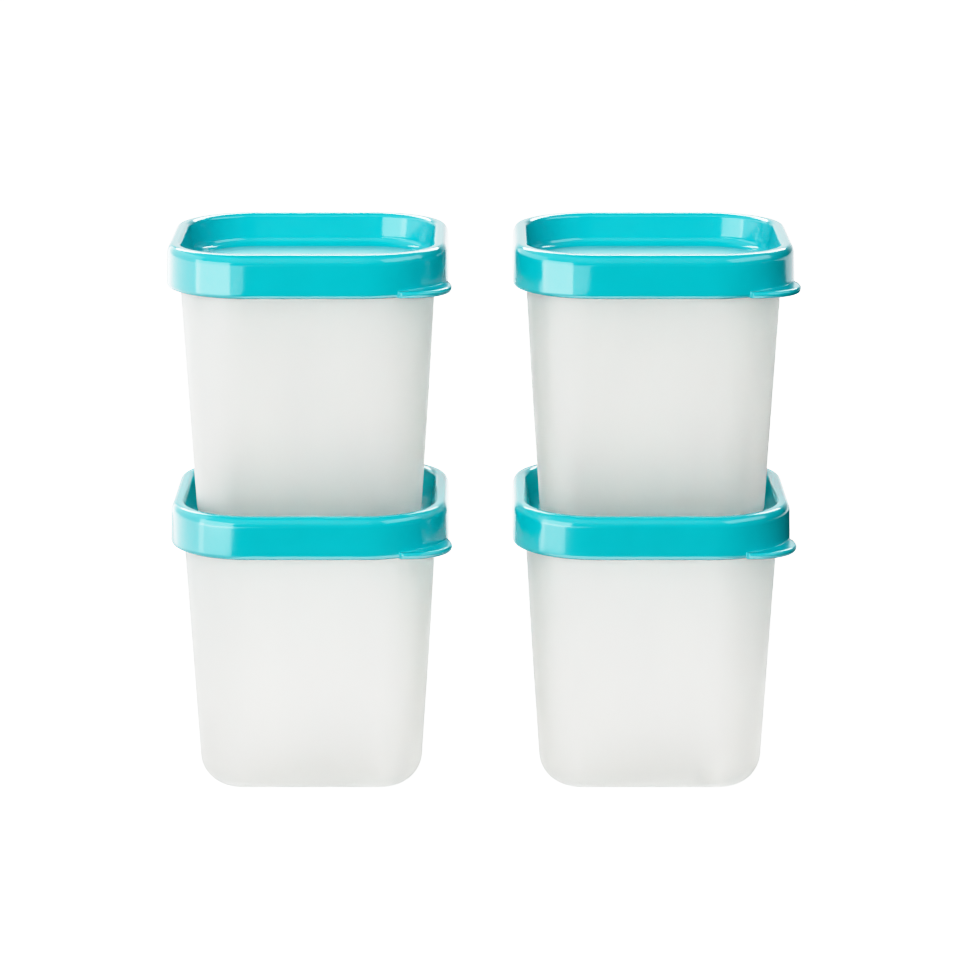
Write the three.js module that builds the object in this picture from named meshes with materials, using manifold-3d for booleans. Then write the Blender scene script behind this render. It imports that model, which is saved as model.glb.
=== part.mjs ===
// A set of four square food-portion cups with press-on lids, standing in two stacks of two.
// Every cup is one moulding and every lid is one moulding. Millimetres, +Z up.
// The origin is on the table, midway between the two stacks.

import * as THREE from "three";
import { mergeVertices } from "three/addons/utils/BufferGeometryUtils.js";
import Module from "manifold-3d";

// Lid, in plan.
const LID_WIDTH = 90; // across the flat sides, at the skirt's lower edge
const LID_CORNER_RADIUS = 27.3; // of the skirt's corners, seen from above
const LID_WALL = 1.3;
const SKIRT_DRAFT = 0.25; // how far each side leans in from its lower edge to the crown

// Lid, in section.
const LID_HEIGHT = 13.8; // from the skirt's lower edge to the top of the crown
const TRAY_DEPTH = 10.45; // from the top of the crown down to the sunk middle
const CROWN_OUTER_WIDTH = 2; // the crown's outer edge is a quarter of an ellipse
const CROWN_OUTER_DROP = 3.6;
const CROWN_INNER_RADIUS = 1.6;
const TRAY_DRAFT = 1; // how far the tray's wall leans in on its way down
const TRAY_FILLET = 3; // between the tray's wall and its floor
const SKIRT_EDGE = 0.3; // softening of the skirt's lower edge

// Pull tab on the corner at +X, -Y of each lid.
const TAB_RADIUS = 13.5; // of its outline, which is part of a disc
const TAB_REACH = 1.2; // how far the disc passes the lid's side at +X
const TAB_SETBACK = 1.2; // how far it stays short of the lid's side at -Y
const TAB_START = 3.2; // from the disc's centre to the tab's square end, towards -X
const TAB_THICKNESS = 2.2;
const TAB_EDGE = 0.4; // rounding of its edges

// Cup.
const CUP_HEIGHT = 92.8; // from the table to the top of the rim
const CUP_WALL = 1.5;
const RIM_STEP = 2.3; // how far the shoulder brings the rim out from the wall
const SHOULDER_HEIGHT = 3.3;
const SHOULDER_RISE = 2.65; // from the tray's floor up to the top of the shoulder that clears it
const SHOULDER_INSIDE_SHIFT = 0.6; // the inner shoulder is lower, so that the wall stays even
const CORNER_TAPER = 9.65; // how much the plan corners tighten from the neck to the base
const BASE_FILLET = 10.8; // the large rounding between wall and base
const FOOT_WIDTH = 3; // width of the flat ring that the cup stands on
const PUSH_UP = 0.8; // how far the middle of the base is raised above that ring
const PUSH_UP_SLOPE = 1; // width of the step up from the ring
const PUSH_UP_CORNER_RADIUS = 8;

// Fits.
const SEAL_CLEARANCE = 0.3; // on both sides of the rim and above it, inside the lid's channel
const STACK_CLEARANCE = 4.45; // from the tray's opening to the side of a cup that stands in it
const STACK_GAP = 0.3; // from the tray's floor to the base of that cup

// Set.
const STACKS_APART = 20.5; // free width between the skirts of the two stacks
const STACK_OFFSET = (LID_WIDTH + STACKS_APART) / 2;
const STACKS = { left: -STACK_OFFSET, right: STACK_OFFSET };

// Facets.
const CORNER_STEPS = 5; // in each quarter-circle plan corner
const SMALLEST_CORNER = 0.5;

// Heights that follow from the above, in the frame of one cup that stands on z = 0.
const CROWN_Z = CUP_HEIGHT + SEAL_CLEARANCE + LID_WALL;
const SKIRT_Z = CROWN_Z - LID_HEIGHT;
const TRAY_Z = CROWN_Z - TRAY_DEPTH;
const NECK_Z = TRAY_Z + SHOULDER_RISE - SHOULDER_HEIGHT;
const LEVELS = { lower: 0, upper: TRAY_Z + STACK_GAP };

// Half widths that follow from the lid's width, from the outside in.
const SKIRT_HALF = LID_WIDTH / 2;
const SKIRT_TOP_HALF = SKIRT_HALF - SKIRT_DRAFT;
const CHANNEL_OUTER_HALF = SKIRT_TOP_HALF - LID_WALL;
const RIM_HALF = CHANNEL_OUTER_HALF - SEAL_CLEARANCE;
const CHANNEL_INNER_HALF = RIM_HALF - CUP_WALL - SEAL_CLEARANCE;
const TRAY_HALF = CHANNEL_INNER_HALF - LID_WALL;
const TRAY_FOOT_HALF = TRAY_HALF - TRAY_DRAFT;
const NECK_HALF = RIM_HALF - RIM_STEP;
const BASE_HALF = TRAY_HALF - STACK_CLEARANCE;

const NECK_CORNER = LID_CORNER_RADIUS - (SKIRT_HALF - NECK_HALF);
const BASE_CORNER = NECK_CORNER - CORNER_TAPER;

const wasm = await Module();
wasm.setup();

const lidMaterial = () =>
  new THREE.MeshStandardMaterial({ color: "#00c4cc", roughness: 0.25, metalness: 0 });

const cupMaterial = () =>
  new THREE.MeshStandardMaterial({ color: "#e7e7e5", roughness: 0.45, metalness: 0 });

// A point of a profile: half the width across the flat sides, the plan corner's radius, the height.
function profilePoint(half, corner, z) {
  return { half, corner: Math.min(half, Math.max(corner, SMALLEST_CORNER)), z };
}

// A profile point whose plan corner shares its centre with the skirt's corner.
function lidPoint(half, z) {
  return profilePoint(half, LID_CORNER_RADIUS - (SKIRT_HALF - half), z);
}

// Points [half, z] along part of an ellipse, with the angles in degrees from +half towards +z.
function ellipseArc(centreHalf, centreZ, radiusHalf, radiusZ, from, to, steps) {
  return Array.from({ length: steps + 1 }, (_, i) => {
    const angle = THREE.MathUtils.degToRad(from + ((to - from) * i) / steps);
    return [centreHalf + radiusHalf * Math.cos(angle), centreZ + radiusZ * Math.sin(angle)];
  });
}

// The shape swept by a profile that is carried round a square with rounded corners.
// A lathe makes the surface, and each of its columns is then moved to its place on the square.
function roundedSquareLathe(profile) {
  const perCorner = CORNER_STEPS + 1;
  const columns = 4 * perCorner;
  const outline = profile.map((p) => new THREE.Vector2(p.half, p.z));
  const geometry = new THREE.LatheGeometry(outline, columns);
  const position = geometry.getAttribute("position");
  for (let column = 0; column <= columns; column++) {
    const quarter = Math.floor((column % columns) / perCorner);
    const angle = (quarter + (column % perCorner) / CORNER_STEPS) * (Math.PI / 2);
    const middle = (quarter + 0.5) * (Math.PI / 2);
    profile.forEach(({ half, corner, z }, row) => {
      const centre = (half - corner) * Math.SQRT2;
      const x = centre * Math.cos(middle) + corner * Math.cos(angle);
      const y = centre * Math.sin(middle) + corner * Math.sin(angle);
      position.setXYZ(column * profile.length + row, x, y, z);
    });
  }
  return geometry;
}

// A closed three.js geometry as a solid that can be cut and joined.
function toSolid(geometry) {
  const bare = geometry.clone();
  bare.deleteAttribute("normal");
  bare.deleteAttribute("uv");
  const merged = mergeVertices(bare, 1e-3);
  return new wasm.Manifold(
    new wasm.Mesh({
      numProp: 3,
      vertProperties: merged.getAttribute("position").array,
      triVerts: new Uint32Array(merged.index.array),
    }),
  );
}

function toGeometry(solid) {
  const mesh = solid.getMesh();
  const geometry = new THREE.BufferGeometry();
  geometry.setAttribute("position", new THREE.BufferAttribute(mesh.vertProperties, 3));
  geometry.setIndex(new THREE.BufferAttribute(mesh.triVerts, 1));
  geometry.computeVertexNormals();
  return geometry;
}

// Half width and plan corner of the cup's outer wall at a height below the neck.
function cupWallAt(z) {
  const share = z / NECK_Z;
  return {
    half: BASE_HALF + (NECK_HALF - BASE_HALF) * share,
    corner: BASE_CORNER + (NECK_CORNER - BASE_CORNER) * share,
  };
}

// Base, wall and shoulder of the cup from the axis up, set in by a wall's thickness for the inside.
function cupSide(inset, shoulderShift) {
  const fillet = Math.min(BASE_FILLET, BASE_CORNER);
  const slope = (NECK_HALF - BASE_HALF) / NECK_Z;
  const lean = THREE.MathUtils.radToDeg(Math.atan(slope));
  const wall = cupWallAt(fillet);
  const centreHalf = wall.half - fillet * Math.hypot(1, slope);
  const radius = fillet - inset;
  const ringHalf = centreHalf - FOOT_WIDTH;
  const raisedHalf = ringHalf - PUSH_UP_SLOPE;
  const roundBase = ellipseArc(centreHalf, fillet, radius, radius, -90, -lean, 5);
  const shoulder = [0.3, 0.7, 1].map((share) => {
    const out = RIM_STEP * share * share * (3 - 2 * share);
    const half = NECK_HALF + out - inset;
    return lidPoint(half, NECK_Z - shoulderShift + SHOULDER_HEIGHT * share);
  });
  return [
    profilePoint(0, 0, PUSH_UP + inset),
    profilePoint(raisedHalf, PUSH_UP_CORNER_RADIUS - PUSH_UP_SLOPE, PUSH_UP + inset),
    profilePoint(ringHalf, PUSH_UP_CORNER_RADIUS, inset),
    ...roundBase.map(([half, z]) => profilePoint(half, wall.corner - (wall.half - half), z)),
    lidPoint(NECK_HALF - inset, NECK_Z - shoulderShift),
    ...shoulder,
  ];
}

function makeCup() {
  const roundRim = CUP_WALL / 2;
  const rimCentre = RIM_HALF - roundRim;
  const rim = ellipseArc(rimCentre, CUP_HEIGHT - roundRim, roundRim, roundRim, 0, 180, 4);
  const profile = [
    ...cupSide(0, 0),
    ...rim.map(([half, z]) => lidPoint(half, z)),
    ...cupSide(CUP_WALL, SHOULDER_INSIDE_SHIFT).reverse(),
  ];
  return roundedSquareLathe(profile);
}

// The lid's section from the axis below the tray, out through the rim's channel and back on top.
function lidProfile() {
  const filletCentre = TRAY_FOOT_HALF - TRAY_FILLET;
  const filletZ = TRAY_Z + TRAY_FILLET;
  const outside = TRAY_FILLET + LID_WALL;
  const innerRoundHalf = TRAY_HALF + CROWN_INNER_RADIUS;
  const innerRoundZ = CROWN_Z - CROWN_INNER_RADIUS;
  const innerChannel = CROWN_INNER_RADIUS - LID_WALL;
  const outerRoundHalf = SKIRT_TOP_HALF - CROWN_OUTER_WIDTH;
  const outerRoundZ = CROWN_Z - CROWN_OUTER_DROP;
  const channelWidth = CROWN_OUTER_WIDTH - LID_WALL;
  const channelDrop = CROWN_OUTER_DROP - LID_WALL;
  const section = [
    ...ellipseArc(filletCentre, filletZ, outside, outside, -90, 0, 4),
    ...ellipseArc(innerRoundHalf, innerRoundZ, innerChannel, innerChannel, 180, 90, 1),
    ...ellipseArc(outerRoundHalf, outerRoundZ, channelWidth, channelDrop, 90, 0, 3),
    [CHANNEL_OUTER_HALF, SKIRT_Z],
    [SKIRT_HALF - SKIRT_EDGE, SKIRT_Z],
    [SKIRT_HALF, SKIRT_Z + SKIRT_EDGE],
    ...ellipseArc(outerRoundHalf, outerRoundZ, CROWN_OUTER_WIDTH, CROWN_OUTER_DROP, 0, 90, 5),
    ...ellipseArc(innerRoundHalf, innerRoundZ, CROWN_INNER_RADIUS, CROWN_INNER_RADIUS, 90, 180, 3),
    ...ellipseArc(filletCentre, filletZ, TRAY_FILLET, TRAY_FILLET, 0, -90, 3),
  ];
  return [
    profilePoint(0, 0, TRAY_Z - LID_WALL),
    ...section.map(([half, z]) => lidPoint(half, z)),
    profilePoint(0, 0, TRAY_Z),
  ];
}

// The tab is a disc with rounded edges, cut off square at one end and cut out inside the skirt.
function makeTab() {
  const edgeHalf = TAB_RADIUS - TAB_EDGE;
  const disc = new THREE.LatheGeometry(
    [
      [0, 0],
      ...ellipseArc(edgeHalf, TAB_EDGE, TAB_EDGE, TAB_EDGE, -90, 0, 2),
      ...ellipseArc(edgeHalf, TAB_THICKNESS - TAB_EDGE, TAB_EDGE, TAB_EDGE, 0, 90, 2),
      [0, TAB_THICKNESS],
    ].map(([radius, z]) => new THREE.Vector2(radius, z)),
    32,
  );
  disc.rotateX(Math.PI / 2);
  const centreX = SKIRT_HALF + TAB_REACH - TAB_RADIUS;
  const centreY = TAB_SETBACK + TAB_RADIUS - SKIRT_HALF;
  disc.translate(centreX, centreY, SKIRT_Z);

  const endCut = new THREE.BoxGeometry(2 * TAB_RADIUS, 3 * TAB_RADIUS, 3 * TAB_THICKNESS);
  endCut.translate(centreX - TAB_START - TAB_RADIUS, centreY, SKIRT_Z);

  const insideHalf = (CHANNEL_OUTER_HALF + SKIRT_TOP_HALF) / 2;
  const inside = roundedSquareLathe([
    profilePoint(0, 0, SKIRT_Z - TAB_THICKNESS),
    lidPoint(insideHalf, SKIRT_Z - TAB_THICKNESS),
    lidPoint(insideHalf, SKIRT_Z + 2 * TAB_THICKNESS),
    profilePoint(0, 0, SKIRT_Z + 2 * TAB_THICKNESS),
  ]);
  return toSolid(disc).subtract(toSolid(endCut)).subtract(toSolid(inside));
}

function makeLid() {
  const shell = toSolid(roundedSquareLathe(lidProfile()));
  return toGeometry(shell.add(makeTab()));
}

function namedMesh(name, geometry, material) {
  const mesh = new THREE.Mesh(geometry, material);
  mesh.name = name;
  return mesh;
}

const cupGeometry = makeCup();
const lidGeometry = makeLid();
const set = new THREE.Group();
for (const [side, x] of Object.entries(STACKS)) {
  const stack = new THREE.Group();
  stack.position.x = x;
  for (const [level, z] of Object.entries(LEVELS)) {
    const closedCup = new THREE.Group();
    closedCup.position.z = z;
    closedCup.add(namedMesh(`${side}_${level}_cup`, cupGeometry, cupMaterial()));
    closedCup.add(namedMesh(`${side}_${level}_lid`, lidGeometry, lidMaterial()));
    stack.add(closedCup);
  }
  set.add(stack);
}

export default set;
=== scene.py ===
"""Four square portion cups with press-on lids in two stacks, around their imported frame."""

import math

import bmesh
import bpy
import numpy as np
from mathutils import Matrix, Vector


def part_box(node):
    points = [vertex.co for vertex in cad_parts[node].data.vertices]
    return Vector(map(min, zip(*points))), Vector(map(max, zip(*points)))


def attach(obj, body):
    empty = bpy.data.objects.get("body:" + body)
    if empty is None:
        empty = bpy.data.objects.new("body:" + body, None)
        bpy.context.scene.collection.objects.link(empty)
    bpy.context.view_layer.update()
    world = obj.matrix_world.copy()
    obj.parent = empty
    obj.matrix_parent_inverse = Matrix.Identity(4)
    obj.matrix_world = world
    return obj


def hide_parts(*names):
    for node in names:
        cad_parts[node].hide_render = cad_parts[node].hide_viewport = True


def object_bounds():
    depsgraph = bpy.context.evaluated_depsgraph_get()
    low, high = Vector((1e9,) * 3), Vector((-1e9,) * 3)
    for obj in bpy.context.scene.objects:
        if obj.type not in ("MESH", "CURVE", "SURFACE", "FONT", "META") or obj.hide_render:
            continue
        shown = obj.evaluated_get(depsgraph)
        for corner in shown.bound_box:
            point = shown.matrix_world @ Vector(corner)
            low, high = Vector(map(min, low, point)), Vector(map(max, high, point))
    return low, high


bl_info = {
    "name": "Portion Cup Set",
    "version": (1, 0, 0),
    "blender": (4, 5, 0),
    "location": "View3D > Sidebar > Portion Cups",
    "description": "Moulded cups and press-on lids around their packed frame, with a small studio",
    "category": "Add Mesh",
}

MM = 0.001
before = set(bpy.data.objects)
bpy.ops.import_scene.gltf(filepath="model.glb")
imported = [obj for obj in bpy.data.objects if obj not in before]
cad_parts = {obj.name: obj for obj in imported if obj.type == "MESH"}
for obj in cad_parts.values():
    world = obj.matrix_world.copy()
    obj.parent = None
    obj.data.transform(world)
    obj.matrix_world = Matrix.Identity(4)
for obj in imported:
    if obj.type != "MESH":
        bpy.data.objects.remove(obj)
CAD_BOX = [list(corner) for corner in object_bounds()]
STACKS = ("left", "right")
LEVELS = ("lower", "upper")
CUP_LOW, CUP_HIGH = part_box("left_lower_cup")
LID_LOW, LID_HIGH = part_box("left_lower_lid")


# ---------------------------------------------------------------- colours and nodes


def linear(hex_colour):
    """An sRGB hex colour as linear red, green, blue."""
    values = np.array([int(hex_colour[i : i + 2], 16) for i in (1, 3, 5)]) / 255
    curved = ((values + 0.055) / 1.055) ** 2.4
    return tuple(np.where(values <= 0.04045, values / 12.92, curved).tolist())


def add_node(tree, kind, inputs=None, **settings):
    """Adds a node, sets its properties, and sets or links each input named in inputs."""
    node = tree.nodes.new(kind)
    for name, value in settings.items():
        setattr(node, name, value)
    for name, value in (inputs or {}).items():
        if isinstance(value, bpy.types.NodeSocket):
            tree.links.new(value, node.inputs[name])
        else:
            node.inputs[name].default_value = value
    return node


def new_material(name):
    """An empty node material and its tree."""
    material = bpy.data.materials.new(name)
    material.use_nodes = True
    material.node_tree.nodes.clear()
    return material, material.node_tree


# ---------------------------------------------------------------- plan and section


def plan_columns(corner_steps, side_steps, extra_angles=()):
    """Where the columns of a rounded square stand, once round it anticlockwise from +X.

    Each column has a direction to its corner's centre, (cx, cy) inside the square from -1 to 1, and the
    angle of its outward normal. Corner columns keep (cx, cy) and turn; side columns keep the angle and
    slide (cx, cy) to the next corner. Extra angles are added to the corner in which they lie.
    """
    quarter = math.pi / 2
    extra = np.mod(np.asarray(extra_angles, float), 4 * quarter)
    parts = []
    for corner in range(4):
        start = corner * quarter
        inside = extra[(extra > start) & (extra < start + quarter)]
        turn = np.union1d(start + np.linspace(0, quarter, corner_steps + 1), inside)
        here = np.sign([math.cos(start + quarter / 2), math.sin(start + quarter / 2)])
        after = np.sign([math.cos(start + 3 * quarter / 2), math.sin(start + 3 * quarter / 2)])
        share = np.linspace(0, 1, side_steps + 1)[1:-1, None]
        parts.append(np.column_stack([np.tile(here, (len(turn), 1)), turn]))
        slide = here + (after - here) * share
        parts.append(np.column_stack([slide, np.full(len(share), start + quarter)]))
    return np.concatenate(parts)


def plan_points(columns, half, corner, height, middle):
    """Points of a rounded square: the corner's centre plus the corner's radius along the normal.

    half is half the width across the flats and corner the plan radius; both, and height, are arrays of
    rows by columns. middle is the point on the floor under the piece's axis.
    """
    reach = half - corner
    x = middle[0] + reach * columns[:, 0] + corner * np.cos(columns[:, 2])
    y = middle[1] + reach * columns[:, 1] + corner * np.sin(columns[:, 2])
    return np.stack([x, y, middle[2] + height], axis=-1)


def arc(centre, radii, start, end, steps):
    """Points (half width, height) on an ellipse round centre, from one angle in degrees to another."""
    angle = np.radians(np.linspace(start, end, steps + 1))
    return np.column_stack(
        [centre[0] + radii[0] * np.cos(angle), centre[1] + radii[1] * np.sin(angle)]
    )


def straight(start, end, steps=4, margin=0.12 * MM):
    """Points between two section points, without the ends, and with a point close to each end.

    The close points keep the shading of a flat stretch flat right up to the rounding beside it.
    """
    start, end = np.asarray(start, float), np.asarray(end, float)
    length = float(np.linalg.norm(end - start))
    near = min(margin / max(length, 1e-9), 0.3)
    share = np.concatenate([[near], np.linspace(0, 1, steps + 1)[1:-1], [1 - near]])
    return start + (end - start) * np.unique(share)[:, None]


def new_piece(name, points, material, sharp_degrees=None, satin=None):
    """A closed piece from a grid of points whose rows run from pole to pole and whose columns go round.

    Face (i, j) joins points (i, j), (i, j+1), (i+1, j+1), (i+1, j), with the last column next to the
    first. Each pole's row is one point, so doubles are merged and the normals are recalculated after it.
    satin, one value for each point, says where the mould was etched instead of polished, and so also
    where the lids' colour gets a painted pale sheen.
    """
    rows, columns = points.shape[:2]
    i, j = np.meshgrid(np.arange(rows - 1), np.arange(columns), indexing="ij")
    beside = (j + 1) % columns
    faces = np.stack(
        [i * columns + j, i * columns + beside, (i + 1) * columns + beside, (i + 1) * columns + j],
        axis=-1,
    ).reshape(-1, 4)
    mesh = bpy.data.meshes.new(name)
    mesh.from_pydata(points.reshape(-1, 3), [], faces)
    if satin is not None:
        layer = mesh.attributes.new("satin", "FLOAT", "POINT")
        layer.data.foreach_set("value", satin.reshape(-1).astype(np.float32))
    close_mesh(mesh)
    mesh.polygons.foreach_set("use_smooth", np.ones(len(mesh.polygons), bool))
    if sharp_degrees is not None:
        mesh.set_sharp_from_angle(angle=math.radians(sharp_degrees))
    mesh.materials.append(material)
    piece = bpy.data.objects.new(name, mesh)
    bpy.context.scene.collection.objects.link(piece)
    return piece


def close_mesh(mesh):
    """Merges doubled points, drops faces that have no area left, and turns the faces outwards."""
    form = bmesh.new()
    form.from_mesh(mesh)
    bmesh.ops.remove_doubles(form, verts=form.verts, dist=2e-6)
    bmesh.ops.dissolve_degenerate(form, edges=form.edges, dist=1e-6)
    bmesh.ops.recalc_face_normals(form, faces=form.faces)
    form.to_mesh(mesh)
    form.free()
    mesh.update()


# ---------------------------------------------------------------- cup


def cup_side(size, inset):
    """Base, wall and shoulder of the cup as rows (half width, plan corner, height), from the axis up.

    The wall is a straight line from the base to the neck, and the fillet's circle touches both the wall
    and the floor. Plan corners widen in a straight line from base to neck. The shoulder is a smooth step.
    An inset of one wall's thickness gives the inside.
    """
    slope = (size.neck_half - size.base_half) / size.neck_height
    fillet = size.base_fillet
    wall_half = size.base_half + slope * fillet
    corner_slope = (size.neck_corner - size.base_corner) / size.neck_height
    wall_corner = size.base_corner + corner_slope * fillet
    centre = wall_half - fillet * math.hypot(1, slope)
    radius = fillet - inset
    lean = math.degrees(math.atan(slope))
    ring = centre - size.foot_width
    raised = ring - size.push_up_slope
    floor = size.push_up + inset

    # base: a round gate mark in the middle, the raised middle, the step down and the foot ring
    gate = size.gate_radius
    mark = size.gate_depth if inset == 0 else 0.0
    shares = np.array([0.0, 0.6, 0.8, 0.9, 1.0])
    dimple = smooth(smooth(1 - shares))
    gate_rows = np.column_stack([gate * shares, gate * shares, floor + mark * dimple])
    spread = np.linspace(0, 1, 9)[1:]
    middle_half = gate + (raised - gate) * spread
    middle_corner = gate + (size.push_up_corner - gate) * spread
    middle = np.column_stack([middle_half, middle_corner, np.full(len(spread), floor)])
    down = np.linspace(0, 1, 9)[1:]
    step = np.column_stack(
        [
            raised + size.push_up_slope * down,
            np.full(len(down), size.push_up_corner),
            floor - size.push_up * smooth(down),
        ]
    )
    foot = np.array([[ring + 0.35 * size.foot_width, size.push_up_corner * 0.8, inset]])

    round_base = arc((centre, fillet), (radius, radius), -90, -lean, 22)
    base_corner = wall_corner - (wall_half - round_base[:, 0])
    round_rows = np.column_stack([round_base[:, 0], base_corner, round_base[:, 1]])

    shoulder_drop = size.shoulder_inside_drop if inset else 0.0
    neck = (size.neck_half - inset, size.neck_height - shoulder_drop)
    wall_line = straight(round_base[-1], neck, 24, 0.5 * MM)
    wall_rows = np.column_stack(
        [
            wall_line[:, 0],
            size.base_corner + corner_slope * wall_line[:, 1] - inset,
            wall_line[:, 1],
        ]
    )
    share = np.linspace(0, 1, 15)
    out_half = size.neck_half + size.rim_step * smooth(share) - inset
    shoulder = np.column_stack(
        [
            out_half,
            size.neck_corner + (out_half - size.neck_half),
            neck[1] + size.shoulder_height * share,
        ]
    )
    return np.concatenate([gate_rows, middle, step, foot, round_rows, wall_rows, shoulder])


def smooth(share):
    """A step from 0 to 1 with level ends: 3 s^2 - 2 s^3."""
    share = np.clip(share, 0, 1)
    return share * share * (3 - 2 * share)


def cup_points(size, columns, middle):
    """The whole cup as one closed sheet.

    It runs up the outside from the axis, over the round rim and down the inside.
    """
    outside = cup_side(size, 0.0)
    inside = cup_side(size, size.wall)[::-1]
    bead = size.wall / 2
    rim_half = size.neck_half + size.rim_step
    rim = arc((rim_half - bead, size.height - bead), (bead, bead), 0, 180, 12)
    up = straight(outside[-1, [0, 2]], rim[0], 5)
    down = straight(rim[-1], inside[0, [0, 2]], 5)
    turn = np.concatenate([up, rim, down])
    turn_corner = size.neck_corner + (turn[:, 0] - size.neck_half)
    over_rim = np.column_stack([turn[:, 0], turn_corner, turn[:, 1]])
    section = np.concatenate([outside, over_rim, inside])
    half, corner, height = (section[:, k, None] + 0 * columns[None, :, 2] for k in range(3))
    corner = np.clip(corner, 0, half)

    # the flat walls stand out a little in their middle, as thin moulded walls do
    away = 1 - np.minimum(1, np.abs(columns[:, :2]).min(axis=1)) ** 2
    rise = np.clip(height / size.neck_height, 0, 1)
    on_wall = half > 0.9 * size.base_half
    half = half + size.wall_bow * away[None, :] * (4 * rise * (1 - rise)) ** 2 * on_wall
    return plan_points(columns, half, corner, height, middle)


# ---------------------------------------------------------------- lid


def tab_reach(size, columns):
    """How far the pull tab's edge stands out from the skirt, along each column's normal.

    From a point P of the skirt with normal n, the tab's round edge, a circle of centre C and radius r,
    is met at distance d, the larger root of |P + d n - C| = r. Columns whose P is outside the circle
    have no tab. The square end is a short smooth step at one angle of the corner.
    """
    centre = np.array([size.half + size.tab_past_side - size.tab_radius,
                       size.tab_short_of_front + size.tab_radius - size.half])
    normal = np.column_stack([np.cos(columns[:, 2]), np.sin(columns[:, 2])])
    skirt = (size.half - size.corner) * columns[:, :2] + size.corner * normal
    from_centre = skirt - centre
    along = (from_centre * normal).sum(axis=1)
    outside = (from_centre**2).sum(axis=1) - size.tab_radius**2
    reach = -along + np.sqrt(np.maximum(along**2 - outside, 0))
    reach = np.where(outside < 0, reach, 0.0)
    past_end = (columns[:, 2] - tab_end_angle(size)) * size.corner
    return reach * smooth(past_end / size.tab_end_round + 0.5)


def tab_end_angle(size):
    """The angle of the corner's normal at the tab's square end.

    There x is tab_start short of the centre of the tab's disc.
    """
    x = size.half + size.tab_past_side - size.tab_radius - size.tab_start
    return 2 * math.pi - math.acos((x - (size.half - size.corner)) / size.corner)


def lid_section(size):
    """The lid's section, from the axis under the tray, out round the rim's channel, and back on top.

    Rows are (half width, height, push, nip, lift). At a column with the tab, a row moves out by push
    times the tab's reach, in by nip and up by lift times the tab's edge rounding.
    """
    thick = size.wall
    skirt_top = size.half - size.draft
    channel_outer = skirt_top - thick
    tray_foot = size.tray_half - size.tray_draft
    crown = size.height
    tray = crown - size.tray_depth
    fillet = size.tray_fillet
    centre = (tray_foot - fillet, tray + fillet)
    inner = (size.tray_half + size.crown_inner, crown - size.crown_inner)
    outer = (skirt_top - size.crown_outer_width, crown - size.crown_outer_drop)
    edge = size.skirt_edge
    inner_channel = size.crown_inner - thick
    channel = (size.crown_outer_width - thick, size.crown_outer_drop - thick)

    under_round = arc(centre, (fillet + thick, fillet + thick), -90, 0, 14)
    channel_in = arc(inner, (inner_channel, inner_channel), 180, 90, 4)
    channel_out = arc(outer, channel, 90, 0, 8)
    below = np.concatenate(
        [
            under_round,
            straight(under_round[-1], channel_in[0], 5),
            channel_in,
            straight(channel_in[-1], channel_out[0], 2),
            channel_out,
            straight(channel_out[-1], (channel_outer, edge), 6),
            arc((channel_outer + edge, edge), (edge, edge), 180, 270, 4),
        ]
    )
    below = np.column_stack([below, np.zeros((len(below), 3))])

    # the skirt's lower edge and the tab, whose bottom is flush with it
    round_wide, round_high = size.skirt_round_width, size.skirt_round_height
    low_edge = arc((size.half - round_wide, round_high), (round_wide, round_high), -90, 0, 9)
    low_edge = np.column_stack([low_edge, np.ones(len(low_edge)), np.zeros((len(low_edge), 2))])
    top = size.tab_thickness
    at_top = size.half - size.draft * top / crown
    angle = np.radians(np.linspace(0, 90, 7))
    top_edge = np.column_stack(
        [
            np.full(7, at_top),
            np.full(7, top),
            np.ones(7),
            1 - np.cos(angle),
            np.sin(angle) - 1,
        ]
    )
    across = np.array([0.85, 0.6, 0.35, 0.15])
    tab_top = np.column_stack([np.full(4, at_top), np.full(4, top), across, across * 0, across * 0])
    root = np.array([[at_top, top + 0.06 * MM, 0.02, 0, 0], [at_top, top + 0.3 * MM, 0, 0, 0]])

    crown_out = arc(outer, (size.crown_outer_width, size.crown_outer_drop), 0, 90, 18)
    skirt_face = straight((at_top, top + 0.3 * MM), crown_out[0], 10)
    crown_in = arc(inner, (size.crown_inner, size.crown_inner), 90, 180, 12)
    tray_round = arc(centre, (fillet, fillet), 0, -90, 14)
    above = np.concatenate(
        [
            skirt_face,
            crown_out,
            straight(crown_out[-1], crown_in[0], 3),
            crown_in,
            straight(crown_in[-1], tray_round[0], 6),
            tray_round,
        ]
    )
    above = np.column_stack([above, np.zeros((len(above), 3))])
    return np.concatenate([below, low_edge, top_edge, tab_top, root, above])


def lid_points(size, columns, middle):
    """The whole lid as one closed sheet, and how satin each of its points is.

    The section is carried round the plan, and a flat floor runs to the axis at both of its ends.
    """
    section = lid_section(size)
    reach = tab_reach(size, columns)[None, :]
    nip = np.minimum(reach, size.tab_edge)
    half, height, push, in_share, up_share = (section[:, k, None] for k in range(5))
    ring_half = half + push * reach - in_share * nip
    ring_height = height + up_share * nip
    ring_corner = size.corner - (size.half - ring_half)

    # the floor shrinks towards the axis, and its plan turns from a rounded square into a circle
    share = np.array([0, 0.02, 0.05, 0.1, 0.2, 0.3, 0.4, 0.5, 0.6, 0.7, 0.8, 0.88, 0.94, 0.98])
    flat_half = section[0, 0] * share[:, None] + 0 * reach
    round_share = section[0, 0] - (size.corner - (size.half - section[0, 0]))
    flat_corner = flat_half - round_share * share[:, None] ** 2
    sag = size.tray_sag * (1 - share[:, None] ** 2) ** 2 + 0 * reach
    thick = size.wall
    tray = size.height - size.tray_depth
    half = np.concatenate([flat_half, ring_half, flat_half[::-1]])
    corner = np.concatenate([flat_corner, ring_corner, flat_corner[::-1]])
    height = np.concatenate([tray - thick - sag, ring_height, tray - sag[::-1]])
    satin = 1 - smooth((half - size.panel_half) / size.panel_edge + 0.5)
    return plan_points(columns, half, corner, height, middle), satin


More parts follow.
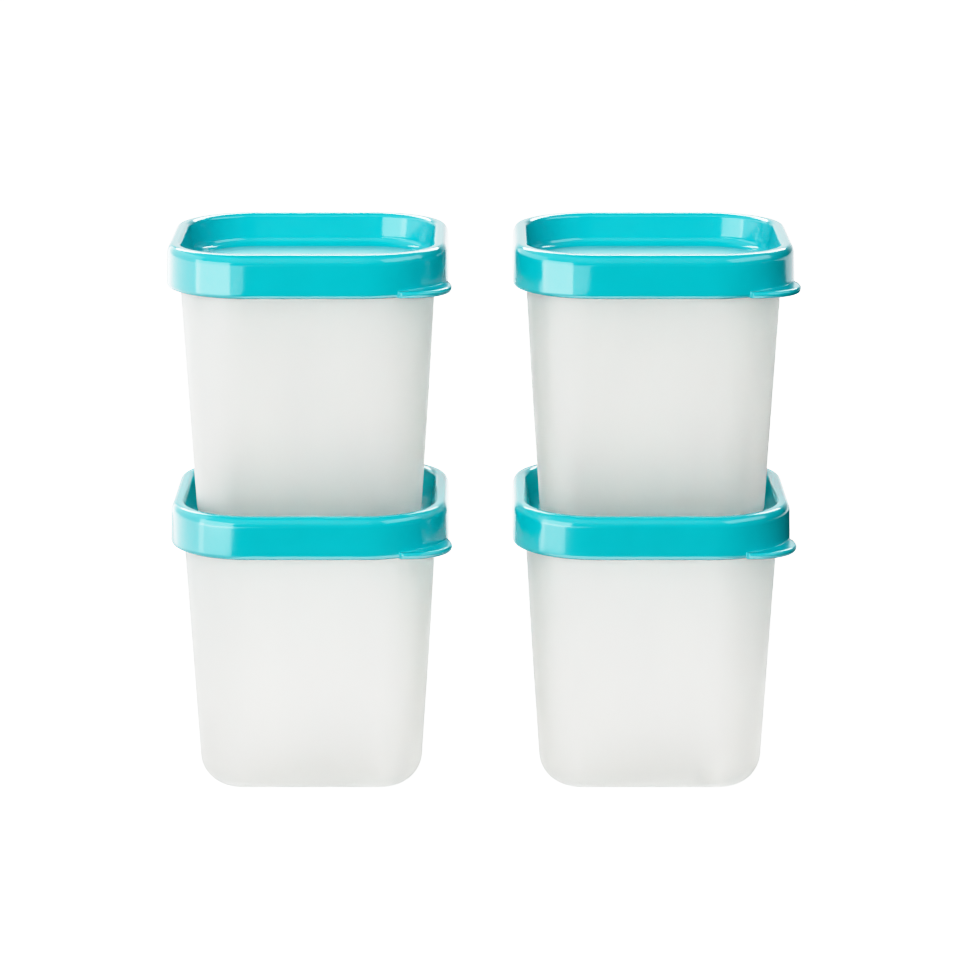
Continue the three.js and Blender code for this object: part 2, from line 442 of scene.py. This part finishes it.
# ---------------------------------------------------------------- materials


def frosted_polypropylene(look):
    """Natural polypropylene, injection moulded with a spark-eroded frost on its outside.

    It is milky, and lets light and blurred shapes through.
    """
    material, tree = new_material("frosted_polypropylene")
    place = add_node(tree, "ShaderNodeTexCoord").outputs["Object"]
    # frost of about 0.35 mm, drawn coarser than the real 0.05 mm so that it shows
    frost = add_node(
        tree, "ShaderNodeTexNoise", {"Vector": place, "Scale": 1 / (0.35 * MM), "Detail": 2.0}
    )
    # slow flow marks from filling the mould, a few centimetres long and mostly upright
    stretch = add_node(tree, "ShaderNodeMapping", {"Vector": place, "Scale": (1.0, 1.0, 0.35)})
    flow = add_node(
        tree,
        "ShaderNodeTexNoise",
        {"Vector": stretch.outputs[0], "Scale": 1 / (16 * MM), "Detail": 3.0, "Roughness": 0.45},
    )
    shade = add_node(tree, "ShaderNodeValToRGB", {"Fac": flow.outputs["Fac"]})
    shade.color_ramp.elements[0].position = 0.3
    shade.color_ramp.elements[1].position = 0.7
    shade.color_ramp.elements[0].color = (*look.cup_shade, 1)
    shade.color_ramp.elements[1].color = (*look.cup_colour, 1)
    rough = add_node(
        tree,
        "ShaderNodeMapRange",
        {"Value": flow.outputs["Fac"], "From Min": 0.3, "From Max": 0.7, "To Min": 0.42, "To Max": 0.5},
    )
    ripple = add_node(
        tree,
        "ShaderNodeBump",
        {"Strength": 0.25, "Distance": 0.02 * MM, "Height": frost.outputs["Fac"]},
    )
    plastic = add_node(
        tree,
        "ShaderNodeBsdfPrincipled",
        {
            "Base Color": shade.outputs["Color"],
            "Roughness": rough.outputs["Result"],
            "IOR": 1.49,
            "Transmission Weight": look.cup_clearness,
            "Normal": ripple.outputs["Normal"],
        },
    )
    milky = add_node(tree, "ShaderNodeBsdfTranslucent", {"Color": shade.outputs["Color"]})
    mixed = add_node(
        tree,
        "ShaderNodeMixShader",
        {"Fac": look.cup_glow, 1: plastic.outputs["BSDF"], 2: milky.outputs["BSDF"]},
    )
    add_node(tree, "ShaderNodeOutputMaterial", {"Surface": mixed.outputs["Shader"]})
    return material


def glossy_polyethylene(look):
    """Turquoise low-density polyethylene from a polished mould.

    It has a soft, even gloss, a faint long ripple and a waxy depth.
    """
    material, tree = new_material("glossy_turquoise_polyethylene")
    place = add_node(tree, "ShaderNodeTexCoord").outputs["Object"]
    # the slow unevenness of cooled polyethylene, about 9 mm from crest to crest
    wave = add_node(
        tree, "ShaderNodeTexNoise", {"Vector": place, "Scale": 1 / (9 * MM), "Detail": 1.5}
    )
    # fine grain left by handling, 0.5 mm
    grain = add_node(
        tree, "ShaderNodeTexNoise", {"Vector": place, "Scale": 1 / (0.5 * MM), "Detail": 2.0}
    )
    tint = add_node(tree, "ShaderNodeValToRGB", {"Fac": wave.outputs["Fac"]})
    tint.color_ramp.elements[0].position = 0.25
    tint.color_ramp.elements[1].position = 0.75
    tint.color_ramp.elements[0].color = (*(0.96 * Vector(look.lid_colour)), 1)
    tint.color_ramp.elements[1].color = (*look.lid_colour, 1)
    polished = add_node(
        tree,
        "ShaderNodeMapRange",
        {"Value": grain.outputs["Fac"], "From Min": 0.3, "From Max": 0.7, "To Min": 0.09, "To Max": 0.13},
    )
    # the tray's floor was etched to a satin in the mould, which makes it rougher; there its colour is
    # also mixed a little towards white, a painted pale sheen that stands in for light reflected from
    # behind the set
    satin = add_node(tree, "ShaderNodeAttribute", attribute_name="satin")
    painted_sheen_share = add_node(
        tree, "ShaderNodeMapRange", {"Value": satin.outputs["Fac"], "To Min": 0.0, "To Max": 0.12}
    )
    # painted sheen: the white that is mixed into the satin floor's colour
    painted_sheen_white = (*linear("#f4f7f7"), 1)
    tint_with_painted_sheen = add_node(
        tree,
        "ShaderNodeMixRGB",
        {"Fac": painted_sheen_share.outputs["Result"], "Color1": tint.outputs["Color"], "Color2": painted_sheen_white},
    )
    rough = add_node(
        tree,
        "ShaderNodeMapRange",
        {"Value": satin.outputs["Fac"], "To Min": polished.outputs["Result"], "To Max": 0.42},
    )
    long_ripple = add_node(
        tree,
        "ShaderNodeBump",
        {"Strength": 0.3, "Distance": 0.02 * MM, "Height": wave.outputs["Fac"]},
    )
    fine_grain = add_node(
        tree,
        "ShaderNodeBump",
        {
            "Strength": 0.05,
            "Distance": 0.01 * MM,
            "Height": grain.outputs["Fac"],
            "Normal": long_ripple.outputs["Normal"],
        },
    )
    plastic = add_node(
        tree,
        "ShaderNodeBsdfPrincipled",
        {
            "Base Color": tint_with_painted_sheen.outputs["Color"],
            "Roughness": rough.outputs["Result"],
            "IOR": 1.51,
            "Normal": fine_grain.outputs["Normal"],
        },
    )
    # thin polyethylene lets a little light through, which shows where it is shaded on one side
    waxy = add_node(tree, "ShaderNodeBsdfTranslucent", {"Color": tint.outputs["Color"]})
    mixed = add_node(
        tree,
        "ShaderNodeMixShader",
        {"Fac": look.lid_glow, 1: plastic.outputs["BSDF"], 2: waxy.outputs["BSDF"]},
    )
    add_node(tree, "ShaderNodeOutputMaterial", {"Surface": mixed.outputs["Shader"]})
    return material


def lit_table(looks):
    """White acrylic shooting table lit from below: plain and pale, with hardly any shadow.

    To light that bounces off it onto the pieces, the whole sheet is a painted mid grey without its glow,
    so it sends less light back to the sides of what stands on it: painted shade.
    """
    material, tree = new_material("lit_white_acrylic_table")
    to_sides = add_node(tree, "ShaderNodeLightPath").outputs["Is Diffuse Ray"]
    sheet = add_node(tree, "ShaderNodeBsdfDiffuse", {"Color": (*linear("#f4f4f4"), 1)})
    glow = add_node(tree, "ShaderNodeEmission", {"Strength": looks.table_glow})
    lit = add_node(tree, "ShaderNodeAddShader", {0: sheet.outputs[0], 1: glow.outputs[0]})
    # painted shade: the grey that bounced light sees in place of the lit white sheet
    dim = add_node(tree, "ShaderNodeBsdfDiffuse", {"Color": (*linear("#7c7c7c"), 1)})
    table = add_node(
        tree, "ShaderNodeMixShader", {"Fac": to_sides, 1: lit.outputs[0], 2: dim.outputs[0]}
    )
    add_node(tree, "ShaderNodeOutputMaterial", {"Surface": table.outputs[0]})
    return material


def black_felt():
    """Black felt on a studio flag, which keeps reflections of the table off the lids."""
    material, tree = new_material("black_felt")
    felt = add_node(tree, "ShaderNodeBsdfDiffuse", {"Color": (*linear("#0d0d0d"), 1)})
    add_node(tree, "ShaderNodeOutputMaterial", {"Surface": felt.outputs["BSDF"]})
    return material


# ---------------------------------------------------------------- sizes a user can change


def length(name, description, value):
    """A length setting, in metres, with its default."""
    return bpy.props.FloatProperty(
        name=name, description=description, default=value, unit="LENGTH", precision=4
    )


def proportion(name, description, value):
    """A setting from 0 to 1."""
    return bpy.props.FloatProperty(
        name=name, description=description, default=value, min=0, max=1, subtype="FACTOR"
    )


def radiance(name, description, value):
    """A light setting, where 1 is white."""
    return bpy.props.FloatProperty(name=name, description=description, default=value, min=0)


def tilt(name, description, degrees):
    """An angle setting with its default in degrees."""
    return bpy.props.FloatProperty(
        name=name, description=description, default=math.radians(degrees), subtype="ANGLE"
    )


def colour(name, description, hex_colour):
    """A colour setting with its default as sRGB hex."""
    return bpy.props.FloatVectorProperty(
        name=name, description=description, default=linear(hex_colour), subtype="COLOR"
    )


LID_HALF = (LID_HIGH.y - LID_LOW.y) / 2
RIM_HALF = (CUP_HIGH.y - CUP_LOW.y) / 2
CORNER = 27.3 * MM
RIM_STEP = 2.3 * MM
NECK_HALF = RIM_HALF - RIM_STEP
TRAY_HALF = 40.05 * MM
BASE_HALF = TRAY_HALF - 4.45 * MM


class CupSizes(bpy.types.PropertyGroup):
    height: length("Height", "From the table to the top of the rim", CUP_HIGH.z - CUP_LOW.z)
    wall: length("Wall", "Thickness of the wall and base", 1.5 * MM)
    neck_half: length("Neck half width", "Half the width below the shoulder", NECK_HALF)
    neck_height: length("Neck height", "Height at which the shoulder starts", 83.3 * MM)
    neck_corner: length(
        "Neck corner", "Plan radius of the corners at the neck", CORNER - (LID_HALF - NECK_HALF)
    )
    rim_step: length("Rim step", "How far the shoulder brings the rim out", RIM_STEP)
    shoulder_height: length("Shoulder height", "Height of the smooth step below the rim", 3.3 * MM)
    shoulder_inside_drop: length("Inner shoulder drop", "How much lower it is inside", 0.6 * MM)
    base_half: length("Base half width", "Half the walls' width carried on to the table", BASE_HALF)
    base_corner: length("Base corner", "Plan radius of the corners at the table", 13.5 * MM)
    base_fillet: length("Base fillet", "Radius between wall and base", 10.8 * MM)
    foot_width: length("Foot width", "Width of the ring that the cup stands on", 3 * MM)
    push_up: length("Push-up", "How far the base's middle is raised", 0.8 * MM)
    push_up_slope: length("Push-up slope", "Width of the step up from the foot ring", 1 * MM)
    push_up_corner: length("Push-up corner", "Plan radius of the raised middle", 8 * MM)
    gate_radius: length("Gate mark radius", "Radius of the dimple left by the mould's gate", 3 * MM)
    gate_depth: length("Gate mark depth", "Depth of that dimple", 0.35 * MM)
    wall_bow: length("Wall bow", "How far the flat walls stand out in their middle", 0.2 * MM)


class LidSizes(bpy.types.PropertyGroup):
    half: length("Half width", "Half the width across the flats of the skirt", LID_HALF)
    corner: length("Corner", "Plan radius of the skirt's corners", CORNER)
    height: length("Height", "From the skirt's lower edge to the crown", LID_HIGH.z - LID_LOW.z)
    wall: length("Wall", "Thickness of the lid", 1.3 * MM)
    draft: length("Draft", "How far the skirt leans in up to the crown", 0.25 * MM)
    tray_half: length("Tray half width", "Half the width of the tray at the crown", TRAY_HALF)
    tray_depth: length("Tray depth", "From the crown down to the sunk middle", 10.45 * MM)
    tray_draft: length("Tray draft", "How far the tray's wall leans in", 1 * MM)
    tray_fillet: length("Tray fillet", "Radius between the tray's wall and floor", 3 * MM)
    panel_half: length("Panel half width", "Half the width of the tray floor's satin panel", 36 * MM)
    panel_edge: length("Panel edge", "Width over which the satin panel fades out", 1.5 * MM)
    tray_sag: length("Tray sag", "How far the tray's floor sags in the middle", 0.15 * MM)
    crown_outer_width: length("Crown outer width", "Width of the crown's outer rounding", 2 * MM)
    crown_outer_drop: length("Crown outer drop", "Height of the crown's outer rounding", 3.6 * MM)
    crown_inner: length("Crown inner radius", "Radius of the crown's inner edge", 1.6 * MM)
    skirt_edge: length("Skirt edge", "Rounding of the skirt's lower edge inside", 0.3 * MM)
    skirt_round_width: length(
        "Skirt rounding width", "How far the outer rounding reaches in", 0.95 * MM
    )
    skirt_round_height: length(
        "Skirt rounding height", "How far the outer rounding reaches up", 1.45 * MM
    )
    tab_radius: length("Tab radius", "Radius of the pull tab's round edge", 13.5 * MM)
    tab_past_side: length("Tab past side", "How far the tab passes the lid's side", 1.2 * MM)
    tab_short_of_front: length(
        "Tab short of front", "How far the tab stays behind the lid's front", 1.2 * MM
    )
    tab_start: length("Tab start", "From the disc's centre to the tab's square end", 3.2 * MM)
    tab_end_round: length("Tab end rounding", "Length over which the square end rises", 0.5 * MM)
    tab_thickness: length("Tab thickness", "Thickness of the pull tab", 2.2 * MM)
    tab_edge: length("Tab edge", "Rounding of the tab's upper edge", 0.7 * MM)


class SetLooks(bpy.types.PropertyGroup):
    cup_colour: colour("Cup colour", "Colour of the natural frosted plastic", "#f2f1ee")
    cup_shade: colour("Cup shade", "The slightly deeper tone in its flow marks", "#edecea")
    cup_clearness: proportion("Cup clearness", "Share of light that the surface lets in", 0.92)
    cup_glow: proportion("Cup glow", "Share of light that the plastic scatters through", 0.26)
    lid_colour: colour("Lid colour", "Colour of the turquoise plastic", "#00c5d1")
    lid_glow: proportion("Lid glow", "Share of light that the plastic scatters through", 0.1)
    table_glow: radiance("Table glow", "Light from under the table's sheet", 1.7)
    main_light: radiance("Main light", "Light of the large soft box", 6.8)
    wall_light: radiance("Wall light", "Light of the walls as seen through the cups", 2.65)
    wall_white: radiance("Wall white", "Light of the walls as the camera sees them", 2.3)
    sky_left: radiance("Light from left", "Soft light from the left walls", 0.55)
    sky_right: radiance("Light from right", "Soft light from the right walls", 0.3)
    camera_distance: length("Camera distance", "To the middle at the lower skirts' edge", 1.35)
    camera_side: length("Camera side", "How far the camera stands left of the middle", 0.2 * MM)
    camera_rise: tilt("Camera rise", "How steeply the camera stands above that point", 13.469)
    camera_pitch: tilt("Camera pitch", "How far the camera looks down", 12.801)
    camera_lens: bpy.props.FloatProperty(
        name="Camera lens", description="Focal length on a 36 mm sensor, in millimetres", default=154.2
    )


class PortionCupSettings(bpy.types.PropertyGroup):
    cup: bpy.props.PointerProperty(type=CupSizes)
    lid: bpy.props.PointerProperty(type=LidSizes)
    looks: bpy.props.PointerProperty(type=SetLooks)


# ---------------------------------------------------------------- operators


def axis_foot(node, half):
    """The point under a node's axis at its lowest level.

    half is half the width across the node's flats, as a tab may widen its box on the right.
    """
    low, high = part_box(node)
    return np.array([low.x + half, (low.y + high.y) / 2, low.z])


def hand_over(piece, node):
    """Ties a finished piece to the body of the CAD node that it stands for."""
    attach(piece, node)
    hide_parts(node)


class PORTIONCUPS_OT_cups(bpy.types.Operator):
    """Moulds the four frosted cups"""

    bl_idname = "portioncups.cups"
    bl_label = "Frosted Cups"

    def execute(self, context):
        settings = context.scene.portion_cups
        size = settings.cup
        plastic = frosted_polypropylene(settings.looks)
        columns = plan_columns(corner_steps=24, side_steps=12)
        for stack in STACKS:
            for level in LEVELS:
                node = f"{stack}_{level}_cup"
                foot = axis_foot(node, RIM_HALF)
                cup = new_piece(f"{node}_moulding", cup_points(size, columns, foot), plastic)
                hand_over(cup, node)
        return {"FINISHED"}


class PORTIONCUPS_OT_lids(bpy.types.Operator):
    """Moulds the four turquoise lids with their trays and pull tabs"""

    bl_idname = "portioncups.lids"
    bl_label = "Turquoise Lids"

    def execute(self, context):
        settings = context.scene.portion_cups
        size = settings.lid
        plastic = glossy_polyethylene(settings.looks)
        end = tab_end_angle(size)
        step = size.tab_end_round / size.corner
        end_columns = end + step * np.linspace(-0.5, 0.5, 7)
        columns = plan_columns(corner_steps=36, side_steps=10, extra_angles=end_columns)
        for stack in STACKS:
            for level in LEVELS:
                node = f"{stack}_{level}_lid"
                foot = axis_foot(node, LID_HALF)
                points, satin = lid_points(size, columns, foot)
                name = f"{node}_moulding"
                lid = new_piece(name, points, plastic, sharp_degrees=50, satin=satin)
                hand_over(lid, node)
        return {"FINISHED"}


def stage_sheet(name, low, high, height, material):
    """A flat rectangle that belongs to the studio, given by two corners and a height."""
    corners = [(low[0], low[1]), (high[0], low[1]), (high[0], high[1]), (low[0], high[1])]
    mesh = bpy.data.meshes.new(name)
    mesh.from_pydata([(x, y, height) for x, y in corners], [], [(0, 1, 2, 3)])
    mesh.materials.append(material)
    sheet = bpy.data.objects.new(name, mesh)
    bpy.context.scene.collection.objects.link(sheet)
    return sheet


def soft_box(name, place, aim, width, height, brightness):
    """A rectangular lamp that faces a point. brightness is its radiance, where 1 is white."""
    lamp = bpy.data.lights.new(name, "AREA")
    lamp.shape = "RECTANGLE"
    lamp.size = width
    lamp.size_y = height
    lamp.energy = brightness * math.pi * width * height
    box = bpy.data.objects.new(name, lamp)
    box.location = place
    box.rotation_euler = (Vector(aim) - Vector(place)).to_track_quat("-Z", "Y").to_euler()
    box.visible_camera = False
    bpy.context.scene.collection.objects.link(box)
    return box


def studio_sky(looks):
    """A studio that is white behind and to the left of the set, and darker in front and to the right.

    The camera, and light that passes through the cups, sees plain white walls. Reflections see walls that
    fall off to the right, are bright behind the set, and are black overhead and below eye level in front.
    Soft light on the pieces falls off to the right in the same way.
    """
    world = bpy.data.worlds.new("studio_sky")
    world.use_nodes = True
    tree = world.node_tree
    tree.nodes.clear()
    way = add_node(tree, "ShaderNodeTexCoord").outputs["Generated"]
    split = add_node(tree, "ShaderNodeSeparateXYZ", {"Vector": way})
    right, back, up = (split.outputs[axis] for axis in "XYZ")
    path = add_node(tree, "ShaderNodeLightPath")

    # what reflections see
    across = add_node(
        tree, "ShaderNodeMapRange", {"Value": right, "From Min": -1.0, "To Min": 1.4, "To Max": 0.0}
    )
    rising = add_node(tree, "ShaderNodeMapRange", {"Value": up, "From Min": 0.2, "From Max": 0.55})
    below_roof = add_node(
        tree,
        "ShaderNodeMapRange",
        {"Value": up, "From Min": 0.78, "From Max": 0.93, "To Min": 1.0, "To Max": 0.0},
    )
    ahead = add_node(
        tree, "ShaderNodeMath", {0: rising.outputs[0], 1: below_roof.outputs[0]}, operation="MULTIPLY"
    )
    behind = add_node(tree, "ShaderNodeMapRange", {"Value": back, "From Min": 0.72, "From Max": 0.95})
    shown = add_node(
        tree, "ShaderNodeMath", {0: ahead.outputs[0], 1: behind.outputs[0]}, operation="MAXIMUM"
    )
    front = add_node(
        tree, "ShaderNodeMath", {0: across.outputs[0], 1: shown.outputs[0]}, operation="MULTIPLY"
    )
    mirror = add_node(
        tree,
        "ShaderNodeMath",
        {0: behind.outputs[0], 1: 1.5, 2: front.outputs[0]},
        operation="MULTIPLY_ADD",
    )

    # soft light on the pieces, and then what each other kind of light sees instead
    soft = add_node(
        tree,
        "ShaderNodeMapRange",
        {"Value": right, "From Min": -1.0, "To Min": looks.sky_left, "To Max": looks.sky_right},
    )
    mixed = add_node(tree, "ShaderNodeBackground", {"Strength": soft.outputs[0]})
    for kind, strength in (
        ("Is Glossy Ray", mirror.outputs[0]),
        ("Is Transmission Ray", looks.wall_light),
        ("Is Camera Ray", looks.wall_white),
    ):
        seen = add_node(tree, "ShaderNodeBackground", {"Strength": strength})
        inputs = {"Fac": path.outputs[kind], 1: mixed.outputs[0], 2: seen.outputs[0]}
        mixed = add_node(tree, "ShaderNodeMixShader", inputs)
    add_node(tree, "ShaderNodeOutputWorld", {"Surface": mixed.outputs[0]})
    bpy.context.scene.world = world


def soften_highlights(view):
    """A camera's tone curve: straight up to a mid tone, then a soft shoulder.

    A radiance of 2 is shown as full white.
    """
    view.view_transform = "Standard"
    view.use_curve_mapping = True
    brightest = 2.0
    tones = view.curve_mapping
    tones.white_level = (brightest, brightest, brightest)
    shoulder = tones.curves[3]
    shoulder.points[0].location = (0.0, 0.0)
    shoulder.points[1].location = (1.0, 1.0)
    for light, shown in ((0.3, 0.3), (0.55, 0.55), (0.8, 0.75), (1.0, 0.85), (1.35, 0.94)):
        shoulder.points.new(light / brightest, shown)
    tones.update()


def gloss_box(name, place, aim, width, height, brightness):
    """A soft box that only reflections see."""
    box = soft_box(name, place, aim, width, height, brightness)
    box.visible_diffuse = False
    box.visible_transmission = False


def around(point, degrees, away, height):
    """A place at a height, a distance away from a point, to the right of straight in front of it."""
    turn = math.radians(degrees)
    return Vector((point.x + away * math.sin(turn), point.y - away * math.cos(turn), height))


def lay_felt(low, high):
    """Black felt on the table in front and to the right, which only reflections see."""
    felt = black_felt()
    edge = low.y - 0.25
    far = 8.0
    for name, start, end in (
        ("front_flag", (-0.3, -far), (far, edge)),
        ("right_flag", (high.x + 0.1, edge), (far, 0.6)),
    ):
        flag = stage_sheet(name, start, end, low.z + 0.5 * MM, felt)
        flag.visible_camera = False
        flag.visible_diffuse = False
        flag.visible_transmission = False
        flag.visible_shadow = False


def hang_lamps(looks, low, high):
    """The main light, and the boxes and cards whose reflections draw the lids' shapes."""
    middle = Vector((0, 0, (low.z + high.z) / 2))

    # a small bright box whose reflection stands on the lids' left corners
    place = around(middle, degrees=-54, away=0.6, height=0.05)
    aim = (middle.x, middle.y, place.z)
    gloss_box("glint_box", place, aim, width=0.5, height=0.5, brightness=7.4)

    # a low strip that does the same for the left stack's lower lid
    place = around(low, degrees=-54, away=0.25, height=0.035)
    aim = (low.x, low.y, place.z)
    gloss_box("low_glint_box", place, aim, width=0.26, height=0.066, brightness=3.6)

    # a panel lying in front of the set, which lights up the skirts' and tabs' rounded lower edges
    place = Vector((0, low.y - 0.13, 0.001))
    aim = place + Vector((0, 0, 1))
    gloss_box("under_box", place, aim, width=0.24, height=0.24, brightness=4.0)

    # a white card beside the left stack
    place = Vector((low.x - 0.2, 0.17, 0.17))
    aim = place + Vector((1, 0, 0))
    gloss_box("left_card", place, aim, width=0.56, height=0.33, brightness=2.8)

    # a box above and behind the set, which lights up the trays' satin floors and the crowns' edges
    place = Vector((0.0, 1.1, 1.15))
    gloss_box("back_box", place, middle, width=2.4, height=0.8, brightness=13.0)

    # one on the front right, above eye level, for the crowns' corners and the tabs' rims
    place = around(middle, degrees=60, away=1.1, height=0.76)
    gloss_box("side_box", place, middle, width=1.4, height=0.55, brightness=3.6)

    # the main light, large and soft, from the front left and above
    place = around(middle, degrees=-19, away=1.6, height=1.1)
    main = soft_box("main_box", place, middle, width=1.6, height=1.2, brightness=looks.main_light)
    main.visible_glossy = False


def set_camera(scene, looks):
    """The camera, whose place is given from the point between the lower lids' skirt edges."""
    lens = bpy.data.cameras.new("camera")
    lens.lens = looks.camera_lens
    lens.sensor_width = 36
    lens.clip_end = 50
    camera = bpy.data.objects.new("camera", lens)
    away = looks.camera_distance * math.cos(looks.camera_rise)
    above = looks.camera_distance * math.sin(looks.camera_rise)
    camera.location = (-looks.camera_side, -away, LID_LOW.z + above)
    camera.rotation_euler = (math.pi / 2 - looks.camera_pitch, 0, 0)
    scene.collection.objects.link(camera)
    scene.camera = camera


class PORTIONCUPS_OT_stage(bpy.types.Operator):
    """Sets up the pale floor, the soft lights and the camera"""

    bl_idname = "portioncups.stage"
    bl_label = "Small Studio"

    def execute(self, context):
        looks = context.scene.portion_cups.looks
        low, high = (Vector(corner) for corner in CAD_BOX)
        far = 12.0
        stage_sheet("table", (-far, -far), (far, far), low.z, lit_table(looks))
        lay_felt(low, high)
        hang_lamps(looks, low, high)
        studio_sky(looks)
        soften_highlights(context.scene.view_settings)
        set_camera(context.scene, looks)
        return {"FINISHED"}


class PORTIONCUPS_PT_panel(bpy.types.Panel):
    """Lists the set's pieces and their sizes"""

    bl_label = "Portion Cups"
    bl_idname = "PORTIONCUPS_PT_panel"
    bl_space_type = "VIEW_3D"
    bl_region_type = "UI"
    bl_category = "Portion Cups"

    def draw(self, context):
        settings = context.scene.portion_cups
        for operator, group in (
            ("portioncups.cups", settings.cup),
            ("portioncups.lids", settings.lid),
            ("portioncups.stage", settings.looks),
        ):
            box = self.layout.box()
            box.operator(operator)
            for name in group.__annotations__:
                box.prop(group, name)


CLASSES = (
    CupSizes,
    LidSizes,
    SetLooks,
    PortionCupSettings,
    PORTIONCUPS_OT_cups,
    PORTIONCUPS_OT_lids,
    PORTIONCUPS_OT_stage,
    PORTIONCUPS_PT_panel,
)


def register():
    for cls in CLASSES:
        bpy.utils.register_class(cls)
    bpy.types.Scene.portion_cups = bpy.props.PointerProperty(type=PortionCupSettings)


def unregister():
    del bpy.types.Scene.portion_cups
    for cls in reversed(CLASSES):
        bpy.utils.unregister_class(cls)


def main():
    register()
    bpy.ops.portioncups.stage()
    bpy.ops.portioncups.cups()
    bpy.ops.portioncups.lids()
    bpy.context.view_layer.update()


if __name__ == "__main__":
    main()
